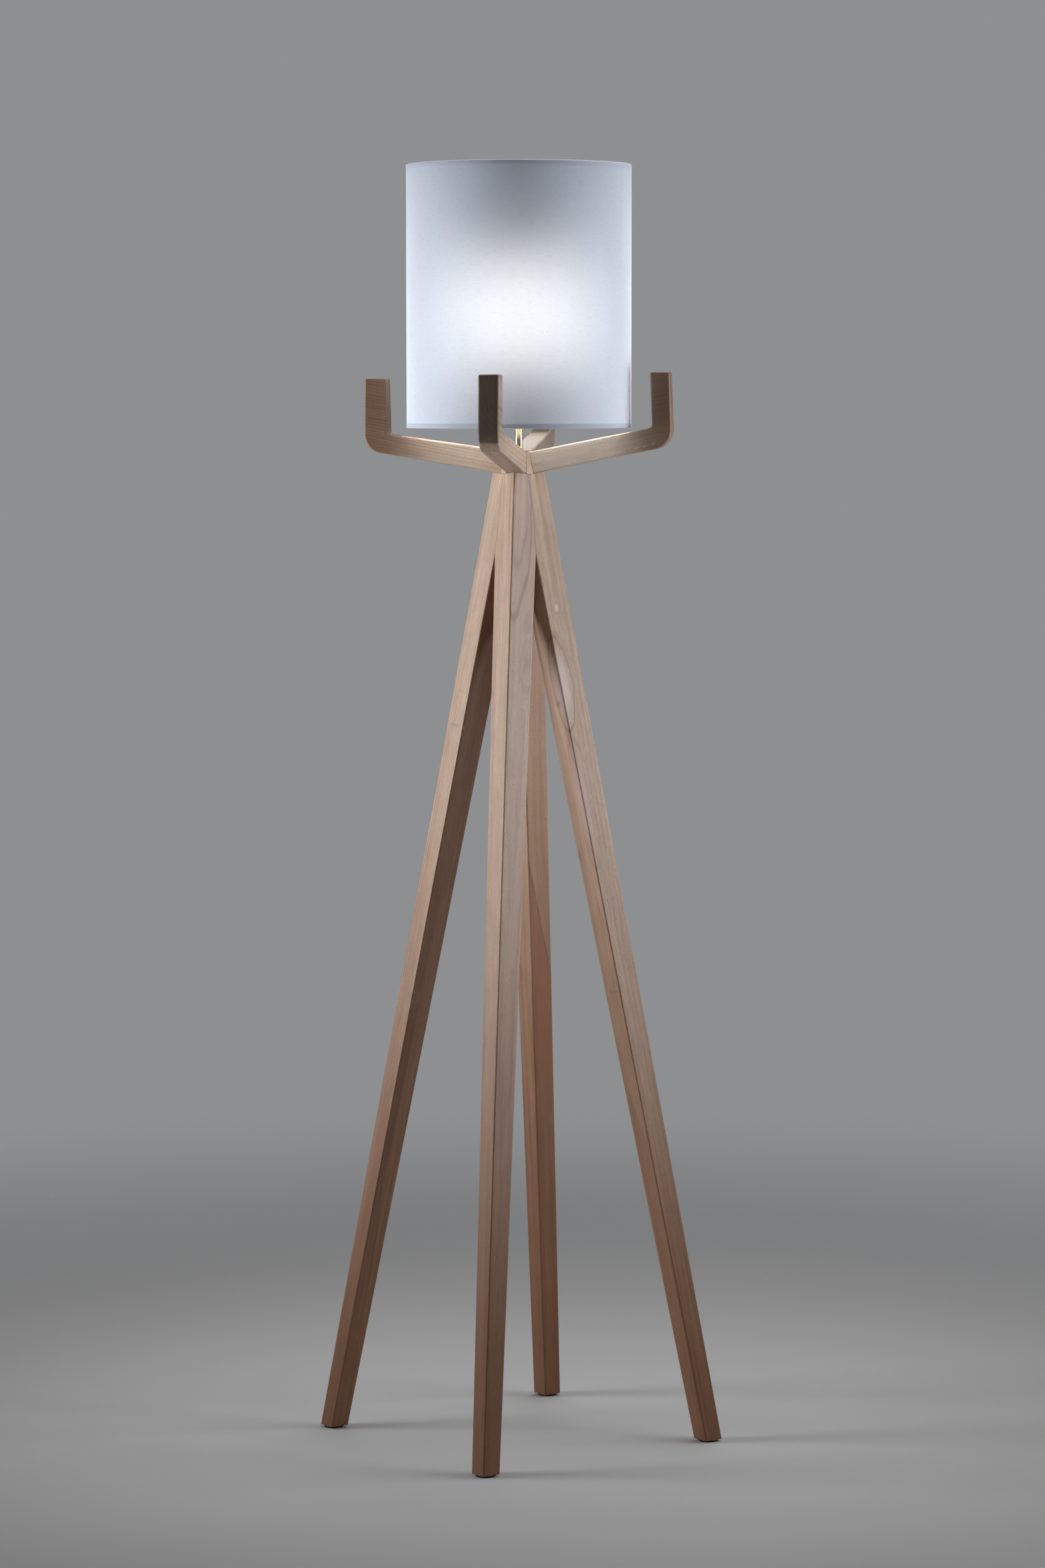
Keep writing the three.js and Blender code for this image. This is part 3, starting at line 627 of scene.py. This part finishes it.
LEG_LOOKS = {
    "front": dict(
        seed=1, pith=(0.030, -0.024), tilt=0.010, spacing=3.1 * MM, zones=[FOOT_SHADE_ZONE, GREY_ZONE],
        knots=[((0.0255, -0.0690, 1.222), 0.180, 0.0400, 2.6, LILAC, 0.30, 0.55),
               ((0.0220, -0.0560, 1.246), 0.160, 0.0270, 0.0, LILAC, 0.15, 0.26),
               ((0.0206, -0.0621, 1.042), 0.034, 0.0090, 1.6, DARK_KNOT, 0.10, 0.16)]),
    "right": dict(
        seed=2, pith=(-0.040, 0.034), tilt=0.016, spacing=8.0 * MM, figure=0.20, zones=[FOOT_SHADE_ZONE],
        knots=[((0.0532, -0.0157, 1.1172), 0.0075, 0.0042, 1.2, PALE_KNOT, 0.75, 0.30),
               ((0.0527, -0.0240, 1.078), 0.018, 0.0070, 1.6, DARK_KNOT, 0.42, 0.0),
               ((0.0610, -0.0268, 1.014), 0.064, 0.0185, 0.8, PALE_LILAC, 0.85, 0.62),
               ((0.0910, -0.0257, 0.862), 0.090, 0.0165, 0.6, LILAC, 0.55, 0.26),
               ((0.0561, -0.0171, 0.989), 0.0065, 0.0045, 1.2, DARK_KNOT, 0.60, 0.25),
               ((0.0826, -0.0028, 0.785), 0.0075, 0.0050, 1.3, DARK_KNOT, 0.55, 0.25),
               ((0.1314, -0.0154, 0.606), 0.0040, 0.0120, 0.9, DARK_KNOT, 0.45, 0.0)]),
    "back": dict(
        seed=3, pith=(0.036, 0.020), tilt=0.006, spacing=2.8 * MM, light=(0.53, 0.350, 0.235),
        dark=(0.31, 0.175, 0.105), zones=[FOOT_SHADE_ZONE, HEART_ZONE, HEART_LINE],
        knots=[((0.0005, 0.185, 0.262), 0.260, 0.0055, 0.6, HEARTWOOD, 0.75, 0.30)]),
    "left": dict(
        seed=4, pith=(0.028, 0.030), tilt=0.008, spacing=3.4 * MM, light=(0.585, 0.420, 0.315),
        zones=[FOOT_SHADE_ZONE, INNER_SHADE_ZONE],
        knots=[((-0.1428, -0.0207, 0.594), 0.0060, 0.0090, 1.4, DARK_KNOT, 0.55, 0.20),
               ((-0.0844, -0.0127, 0.960), 0.0030, 0.0150, 0.9, DARK_KNOT, 0.32, 0.0),
               ((-0.0750, -0.0080, 1.005), 0.0030, 0.0120, 0.8, DARK_KNOT, 0.28, 0.0)]),
}
ARM_LOOKS = {
    "front": dict(seed=5, pith=(0.052, 0.060), tilt=0.05, spacing=6.5 * MM, light=(0.52, 0.40, 0.32),
                  zones=[UPRIGHT_FIGURE_AND_SHADE_ZONE]),
    # The right arm's pale light and dark tones are painted light from the shade's lower opening
    "right": dict(
        seed=6, pith=(0.034, 0.012), tilt=0.02, spacing=3.3 * MM, light=(0.80, 0.66, 0.53),
        dark=(0.53, 0.40, 0.29), zones=[RIGHT_ARM_SHADE_ZONE],
        knots=[scuff(0.1287, 1.3222, 3.0 * MM, 0.7 * MM), scuff(0.1352, 1.3236, 1.8 * MM, 0.5 * MM),
               scuff(0.1599, 1.3290, 4.2 * MM, 0.7 * MM), scuff(0.1702, 1.3310, 2.2 * MM, 0.6 * MM, 0.8),
               scuff(0.1821, 1.3345, 2.8 * MM, 0.6 * MM, 0.8)]),
    # The back arm's dark tones are painted shade, which holds down the strong light on its top from the shade's
    # lower opening
    "back": dict(seed=7, pith=(0.030, 0.022), tilt=0.02, spacing=3.4 * MM, light=(0.29, 0.245, 0.205),
                 dark=(0.19, 0.135, 0.095)),
    "left": dict(seed=8, pith=(0.026, -0.020), tilt=0.035, spacing=3.9 * MM, light=HUB_LIT_WOOD, dark=HUB_LIT_FIGURE,
                 zones=[LEFT_ARM_SHADE_ZONE]),
}


def add_wood():
    for side in SIDES:
        foot, rise = leg_line(side)
        dress(f"leg_{side}", wood(f"leg_wood_{side}", foot, rise, **LEG_LOOKS[side]))
        start = heading(side, 0.022, 1.31)
        along = heading(side, 1, ARM_RISE)
        dress(f"arm_{side}", wood(f"arm_wood_{side}", start, along, **ARM_LOOKS[side]))
    dress("hub", wood("hub_wood", (0, 0, 1.30), (0, 0, 1), 9, pith=(0.03, 0.03), light=(0.62, 0.50, 0.35),
                      dark=(0.44, 0.31, 0.20)))
    plain = wood("dowel_wood", (0, 0, 0), (0.3, 0.2, 1), 11, light=(0.62, 0.47, 0.31), dark=(0.45, 0.31, 0.19))
    for name in nodes:
        if "dowel" in name:
            dress(name, plain)


# The shade

SHADE_LO, SHADE_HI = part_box("shade_fabric")
SHADE_RADIUS = SHADE_HI.x / MM
SHADE_BOTTOM, SHADE_TOP = SHADE_LO.z / MM, SHADE_HI.z / MM
WRAP = 0.15                         # radius, in metres, at which the weave is counted round the shade
WEFT_PITCH, WARP_PITCH = 0.62 * MM, 0.58 * MM
CLOTH_WHITE = (0.700, 0.757, 0.870)
CLOTH_PASSES = (0.835, 0.845, 0.865)
HEM, FADE = 6.0 * MM, 1.2 * MM      # where the doubled edge shows dark, and how softly that ends
TURNED_IN = 9.0                     # width of the cloth that is turned in over each hoop
CREASE = (-0.1249, -0.0831, 1.397)  # a small crease low on the cloth's left side, painted as darker, thicker cloth: painted shade, as the crease has no shape of its own
SEAM_OVERLAP = 11.0
SEAM_AT = 90 + 25                   # bearing of the seam, in degrees, at the back


def cloth_profile():
    """The cloth's section as (radius, height), from its upper turned-in edge to its lower one."""
    r, top, bottom = SHADE_RADIUS - 0.15, SHADE_TOP - 0.1, SHADE_BOTTOM + 0.1
    inner = r - 4.3
    upper = [(inner, top - TURNED_IN), (inner + 0.1, top - 6), (inner + 0.3, top - 2.4)]
    fold = [(r - 2.0 + 2.0 * math.sin(a), top - 2.0 + 2.0 * math.cos(a))
            for a in (math.radians(d) for d in (-62, -35, -8, 20, 45, 70, 90))]
    body = [(r, top - 4), (r, top - 6.2), (r, top - 7.4)]
    steps = 60
    body += [(r, top - 8 - (top - bottom - 16) * k / steps) for k in range(steps + 1)]
    body += [(r, bottom + 7.4), (r, bottom + 6.2), (r, bottom + 4)]
    lower = [(radius, top + bottom - height) for radius, height in reversed(fold)]
    end = [(radius, top + bottom - height) for radius, height in reversed(upper)]
    return upper + fold + body + lower + end


def add_shade_cloth():
    """One sheet wrapped round the hoops, with an overlapping seam, faint waves, and puckers near its edges."""
    rng = random.Random(7)
    waves = [(rng.randint(2, 9), rng.uniform(0, 6.28), rng.uniform(0.03, 0.10)) for _ in range(8)]
    puckers = [(rng.randint(70, 120), rng.uniform(0, 6.28), rng.uniform(0.015, 0.035)) for _ in range(6)]
    profile = cloth_profile()
    columns = 420
    length = 2 * math.pi * SHADE_RADIUS + SEAM_OVERLAP
    vertices, faces = [], []
    for i in range(columns + 1):
        along = length * i / columns
        angle = math.radians(SEAM_AT) + along / SHADE_RADIUS
        inset = 0.55 * (1 - along / length)
        if i == columns:
            inset = 0.5
        for r, z in profile:
            edge = min(z - SHADE_BOTTOM, SHADE_TOP - z)
            drift = sum(a * math.sin(n * angle + p + z * 0.004 * n) for n, p, a in waves)
            pucker = sum(a * math.sin(n * angle + p) for n, p, a in puckers) * math.exp(-edge / 9)
            hem = 0.22 if 0 < edge < 6.4 and r > SHADE_RADIUS - 1 else 0.0
            radius = min(r - inset + 0.35 * drift + pucker + hem - 0.25, SHADE_RADIUS)
            vertices.append((radius * MM * math.cos(angle), radius * MM * math.sin(angle), z * MM))
    rows = len(profile)
    for i in range(columns):
        for j in range(rows - 1):
            a = i * rows + j
            faces.append((a, a + 1, a + rows + 1, a + rows))
    piece = new_piece("shade_cloth", vertices, faces, cloth("white_cotton", CLOTH_WHITE), "shade",
                      "shade_cotton", ["shade_fabric"], sharp=None)


def add_lining():
    """A thin stiff tube just inside the cloth."""
    r = SHADE_RADIUS - 2.2
    steps = 40
    bottom, top = SHADE_BOTTOM + 2.6, SHADE_TOP - 2.6
    rng = random.Random(3)
    waves = [(rng.randint(2, 7), rng.uniform(0, 6.28), rng.uniform(0.05, 0.12)) for _ in range(5)]
    vertices, faces = [], []
    columns = 240
    for k in range(steps + 1):
        z = bottom + (top - bottom) * k / steps
        for i in range(columns):
            angle = 2 * math.pi * i / columns
            radius = r + sum(a * math.sin(n * angle + p + z * 0.01) for n, p, a in waves)
            vertices.append((radius * MM * math.cos(angle), radius * MM * math.sin(angle), z * MM))
    for k in range(steps):
        for i in range(columns):
            n = (i + 1) % columns
            faces.append((k * columns + i, (k + 1) * columns + i, (k + 1) * columns + n, k * columns + n))
    new_piece("shade_lining", vertices, faces, lining_film("lining_film"), "shade", "shade_lining",
              ["shade_liner"], sharp=None)


# The spider that carries the shade

HOOP_LO, HOOP_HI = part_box("shade_top_hoop")
HOOP_RADIUS = (HOOP_HI.x - (HOOP_HI.z - HOOP_LO.z) / 2) / MM    # to the middle of its wire
WIRE = 1.6                                                      # radius of the wire
SPOKE_BEARINGS = (30, 150, 270)


def add_spider(enamel):
    """Two wire hoops, and three bent spokes that are welded to the fitter plate and the lower hoop."""
    for node in ("shade_top_hoop", "shade_bottom_hoop"):
        lo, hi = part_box(node)
        z = (lo.z + hi.z) / 2 / MM
        ring = [(HOOP_RADIUS * math.cos(a), HOOP_RADIUS * math.sin(a), z)
                for a in (2 * math.pi * k / 200 for k in range(200))]
        new_piece(node.replace("shade_", "wire_"), *swept(ring, WIRE, closed=True), enamel, "shade", "white_wire",
                  [node], sharp=None)
    low, high = (corner.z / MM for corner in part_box("shade_fitter_ring"))
    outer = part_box("shade_fitter_ring")[1].x / MM
    plate = eased([(20.2, low), (outer, low), (outer, high), (20.2, high)], 0.5)
    new_piece("fitter_plate", *lathe(plate), enamel, "shade", "white_wire", ["shade_fitter_ring"])
    z = (low + high) / 2
    end = HOOP_RADIUS - WIRE
    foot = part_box("shade_bottom_hoop")[0].z / MM + WIRE
    line = smooth_curve([(outer - 0.4, 0, z), (outer + 8, 0, z), (outer + 24, 0, z - 6), (outer + 62, 0, z - 38),
                         (end - 16, 0, foot + 5), (end - 7, 0, foot), (end + 0.5, 0, foot)])

    def weld(share):
        return WIRE * (1 + 0.32 * math.exp(-((min(share, 1 - share) - 0.012) / 0.014) ** 2))

    for number, bearing in enumerate(SPOKE_BEARINGS, 1):
        spoke = turned_about_z(swept(line, weld), bearing)
        new_piece(f"spoke_{number}", *spoke, enamel, "shade", "white_wire", [f"shade_spoke_{number}"], sharp=None)


# Lampholder, stem and bulb: heights in these profiles are above the lampholder's base

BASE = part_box("holder_cap")[0].z / MM
SCREW_PITCH = 3.62      # of the bulb's thread


def add_holder(plastic, brass, ceramic, steel):
    """The lampholder's cap, skirt, threaded shell and small parts, and the ring that clamps the shade."""
    cap = [(5.0, 0), (8.5, 0), (8.5, 5), (12.4, 8), (17.5, 11), (19.4, 14.5), (19.4, 25), (17.9, 25), (17.9, 15),
           (16.6, 12.4), (8, 8.4), (5.0, 8.4)]
    new_piece("lampholder_cap", *lathe(lifted(eased(cap, 0.8), BASE)), plastic, "stand", "holder_plastic",
              ["holder_cap"], sharp=50)
    skirt = [(16.5, 17.5), (17.5, 17.5), (17.5, 25.3), (23.5, 25.3), (23.5, 27.5), (19.0, 27.5), (19.0, 47),
             (19.4, 48.5), (19.4, 54), (15.2, 54), (15.2, 52.2), (16.5, 52.2)]
    thread = threaded(18.95, 19.75, 2.5, BASE + 28.2, BASE + 47, 18.2)
    new_piece("lampholder_skirt", *joined(lathe(lifted(eased(skirt, 0.45), BASE)), thread), plastic, "stand",
              "holder_plastic", ["holder_skirt"], sharp=50)
    collar = eased([(20.2, 30.2), (27, 30.2), (27, 31.8), (23.6, 32.4), (23.4, 35.4), (23.2, 38.4), (22.6, 39),
                    (20.2, 39)], 0.3)
    radii = [r for r, _ in collar]

    def grip(i, angle):
        return -0.5 * max(0.0, math.cos(36 * angle)) ** 2 if 22.9 < radii[i] < 23.65 else 0.0

    new_piece("shade_ring_nut", *lathe(lifted(collar, BASE), 288, flute=grip), plastic, "shade_ring",
              "holder_plastic", ["shade_ring"], sharp=50)
    shell = threaded(14.1, 13.6, SCREW_PITCH, BASE + 21.4, BASE + 49.8, 14.6, inward=True)
    new_piece("screw_shell", *shell, brass, "stand", "brass", ["holder_screw_shell"])
    dress("holder_core", ceramic)
    dress("holder_grub_screw", steel)
    for name in ("holder_centre_contact", "terminal_screw_live", "terminal_screw_neutral"):
        dress(name, brass)


TUBE_BORE = 3.7
FASTENER_BORE = 4.95


def add_stem(brass, steel, rubber):
    """The tube, threaded at both ends, and what clamps it to the hub and under the legs."""
    lo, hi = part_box("stem_tube")
    r, bottom, top = hi.x / MM, lo.z / MM, hi.z / MM
    root, crest = r - 0.35, r - 0.02
    lower, upper = bottom + 15, top - 14
    plain = [(TUBE_BORE, lower), (r, lower), (r, upper), (TUBE_BORE, upper)]
    tube = joined(
        threaded(root, crest, 1.0, bottom, lower, TUBE_BORE),
        lathe(eased(plain, 0.2)),
        threaded(root, crest, 1.0, upper, top, TUBE_BORE))
    new_piece("brass_tube", *tube, brass, "stand", "brass", ["stem_tube"], sharp=50)
    for node in ("stem_top_washer", "stem_bottom_washer"):
        lo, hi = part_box(node)
        outer, low, high = hi.x / MM, lo.z / MM, hi.z / MM
        section = [(FASTENER_BORE, low), (outer, low), (outer, high), (FASTENER_BORE, high)]
        new_piece(node.replace("stem_", "plate_"), *lathe(eased(section, 0.25)), steel, "stand", "steel", [node])
    for node in ("stem_top_nut", "stem_bottom_nut"):
        lo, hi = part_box(node)
        low, high = lo.z / MM, hi.z / MM
        flats = hi.y / MM
        corners = hi.x / MM
        rim = flats + 0.25
        section = [(FASTENER_BORE, low), (rim, low), (corners, low + 0.55), (corners, high - 0.55), (rim, high),
                   (FASTENER_BORE, high)]

        def hexagonal(i, angle, section=section, flats=flats):
            edge = flats / math.cos((angle % math.radians(60)) - math.radians(30))
            return min(section[i][0], edge) - section[i][0] if section[i][0] > FASTENER_BORE else 0.0

        new_piece(node.replace("stem_", "hex_"), *lathe(section, 96, flute=hexagonal), brass, "stand", "brass",
                  [node], sharp=20)
    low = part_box("cord_bushing")[0].z / MM
    bush = [(3.4, low), (6.4, low), (7.2, low + 1), (7.2, low + 7.9), (5.0, low + 7.9), (5.0, low + 3),
            (3.4, low + 3)]
    new_piece("cord_grommet", *lathe(eased(bush, 0.7)), rubber, "stand", "rubber", ["cord_bushing"], sharp=50)


def add_bulb(opal, cap_metal, clear, black, steel):
    """A pear-shaped envelope on a screw cap. Its crown is round, and a curve leads from there down to the neck."""
    lo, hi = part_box("bulb_glass")
    radius, crown, neck_bottom = hi.x / MM, hi.z / MM, lo.z / MM
    centre = crown - radius
    waist = math.radians(-38)
    joint = Vector((radius * math.cos(waist), centre + radius * math.sin(waist)))
    curve = [Vector((11.6, BASE + 52)), Vector((11.6, BASE + 66)),
             joint + Vector((8.5 * math.sin(waist), -9)), joint]
    outline = [(0, neck_bottom), (11.2, neck_bottom), (11.6, neck_bottom + 0.4)]
    for k in range(17):
        t = k / 17
        p = (curve[0] * (1 - t) ** 3 + curve[1] * 3 * t * (1 - t) ** 2 + curve[2] * 3 * t ** 2 * (1 - t)
             + curve[3] * t ** 3)
        outline.append((p.x, p.y))
    for k in range(25):
        a = waist + (math.pi / 2 - waist) * k / 24
        outline.append((radius * math.cos(a) if k < 24 else 0, centre + radius * math.sin(a)))
    new_piece("bulb_envelope", *lathe(outline, closed=False), opal, "bulb", "opal_glass", ["bulb_glass"], sharp=50)
    cap_low, cap_high = (corner.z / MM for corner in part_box("bulb_cap"))
    rim = [(12.0, cap_high - 4), (13.2, cap_high - 3.2), (13.2, cap_high - 0.2), (12.5, cap_high),
           (12.0, cap_high - 0.6)]
    screw = threaded(12.35, 13.1, SCREW_PITCH, cap_low, cap_high - 3.2, 12.0)
    new_piece("bulb_screw_cap", *joined(screw, lathe(eased(rim, 0.3))), cap_metal, "bulb", "bulb_cap_metal",
              ["bulb_cap"], sharp=50)
    dress("bulb_insulator", black)
    dress("bulb_tip", steel)
    dress("bulb_mount", clear)
    dress("bulb_filament", steel)


def add_feet(rubber):
    """Low round pads under the feet."""
    for side in SIDES:
        lo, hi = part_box(f"foot_pad_{side}")
        radius, thick = (hi.x - lo.x) / 2 / MM, hi.z / MM
        section = [(0, 0), (radius, 0), (radius, thick), (0, thick)]
        vertices, faces = lathe(eased(section, 0.8), 64, closed=False)
        middle = (lo + hi) / 2
        vertices = [(x + middle.x, y + middle.y, z) for x, y, z in vertices]
        new_piece(f"pad_{side}", vertices, faces, rubber, "stand", "rubber", [f"foot_pad_{side}"])


def add_loose_threads():
    """Fibres that stick out of the cloth's lower fold."""
    s = Shader("loose_cotton", Roughness=0.85, Sheen_Weight=0.1)
    s.set(Base_Color=s.mix(s.noise(s.coords, 300, 2.0), (0.86, 0.88, 0.91), (0.66, 0.68, 0.71)))
    rng = random.Random(19)
    strands = []
    for _ in range(26):
        bearing = rng.uniform(0, 2 * math.pi)
        length = rng.uniform(1.5, 5.5)
        curl = rng.uniform(-1.2, 1.2)
        r, z = SHADE_RADIUS - 1.2, SHADE_BOTTOM + 0.6
        line = []
        for k in range(7):
            t = k / 6
            a = bearing + (length * t * 0.8 + curl * t * t) / SHADE_RADIUS
            drop = min(0.5 * length * t * (1 - 0.6 * t), 0.55)
            line.append((r * math.cos(a), r * math.sin(a), z - drop))
        strands.append(swept(line, 0.06, 5))
    new_piece("hem_fibres", *joined(*strands), s.material, "shade", "shade_cotton", sharp=None)


def add_stage():
    """A plain pale floor that fades into the backdrop's colour far from the lamp."""
    vertices, faces = lathe([(0, 0), (3000, 0), (30000, 0)], 64, closed=False)
    mesh = bpy.data.meshes.new("floor")
    mesh.from_pydata(vertices, [], faces)
    floor = bpy.data.objects.new("floor", mesh)
    bpy.context.scene.collection.objects.link(floor)
    s = Shader("floor", Roughness=0.75, Specular_IOR_Level=0.2)
    s.set(Base_Color=s.mix(s.noise(s.coords, 1.3, 3.0), (0.50, 0.495, 0.49), (0.54, 0.535, 0.53)))
    reach = s.vector("LENGTH", s.coords, output="Value")
    far = s.add("ShaderNodeEmission", {"Color": BACKDROP, "Strength": 1.0})
    mix = s.add("ShaderNodeMixShader", {0: s.range(reach, 0.55, 3.0), 1: s.bsdf.outputs[0], 2: far.outputs[0]})
    s.put(s.output.inputs[0], mix.outputs[0])
    mesh.materials.append(s.material)


add_camera()
add_world(AMBIENT, BACKDROP)
bpy.context.scene.view_settings.view_transform = "Standard"
add_stage()
add_softbox("left_box", -85, 1.7, 1.10, (0.7, 0.9), 9.0, COOL_WHITE, 0.98, spread=NARROW)
add_softbox("right_box", 84, 1.7, 1.12, (1.2, 0.9), 7.6, COOL_WHITE, 0.98, spread=NARROW)
add_softbox("front_fill", -12, 5.0, 2.6, (2.4, 1.6), 1.6, (1.0, 0.985, 0.97), 0.9)
add_softbox("top_box", 150, 0.6, 3.1, (1.8, 1.8), 30, (0.98, 0.99, 1.0), 0.0)

enamel = moulded("white_enamel", (0.80, 0.80, 0.78), 0.34, grain=500)
plastic = moulded("holder_plastic", (0.83, 0.82, 0.78), 0.36)
rubber = moulded("black_rubber", (0.020, 0.019, 0.018), 0.72, grain=1600)
brass = metal("polished_brass", (0.90, 0.70, 0.34), 0.13, (0.42, 0.29, 0.12), brush=(1, 1, 0.06))
steel = metal("zinc_plate", (0.62, 0.63, 0.65), 0.30, (0.36, 0.35, 0.33))
cap_metal = metal("rolled_cap", (0.78, 0.78, 0.77), 0.22, (0.45, 0.44, 0.42), brush=(1, 1, 0.2))
ceramic = moulded("glazed_porcelain", (0.84, 0.83, 0.79), 0.16)
black = moulded("black_insulator", (0.012, 0.012, 0.014), 0.12)
clear = moulded("stem_glass", (0.80, 0.83, 0.84), 0.10)
opal = glowing_glass("opal_glass", (1.0, 0.985, 0.955), 79.0)

add_wood()
add_shade_cloth()
add_lining()
add_spider(enamel)
add_holder(plastic, brass, ceramic, steel)
add_stem(brass, steel, rubber)
add_bulb(opal, cap_metal, clear, black, steel)
add_feet(rubber)
add_loose_threads()
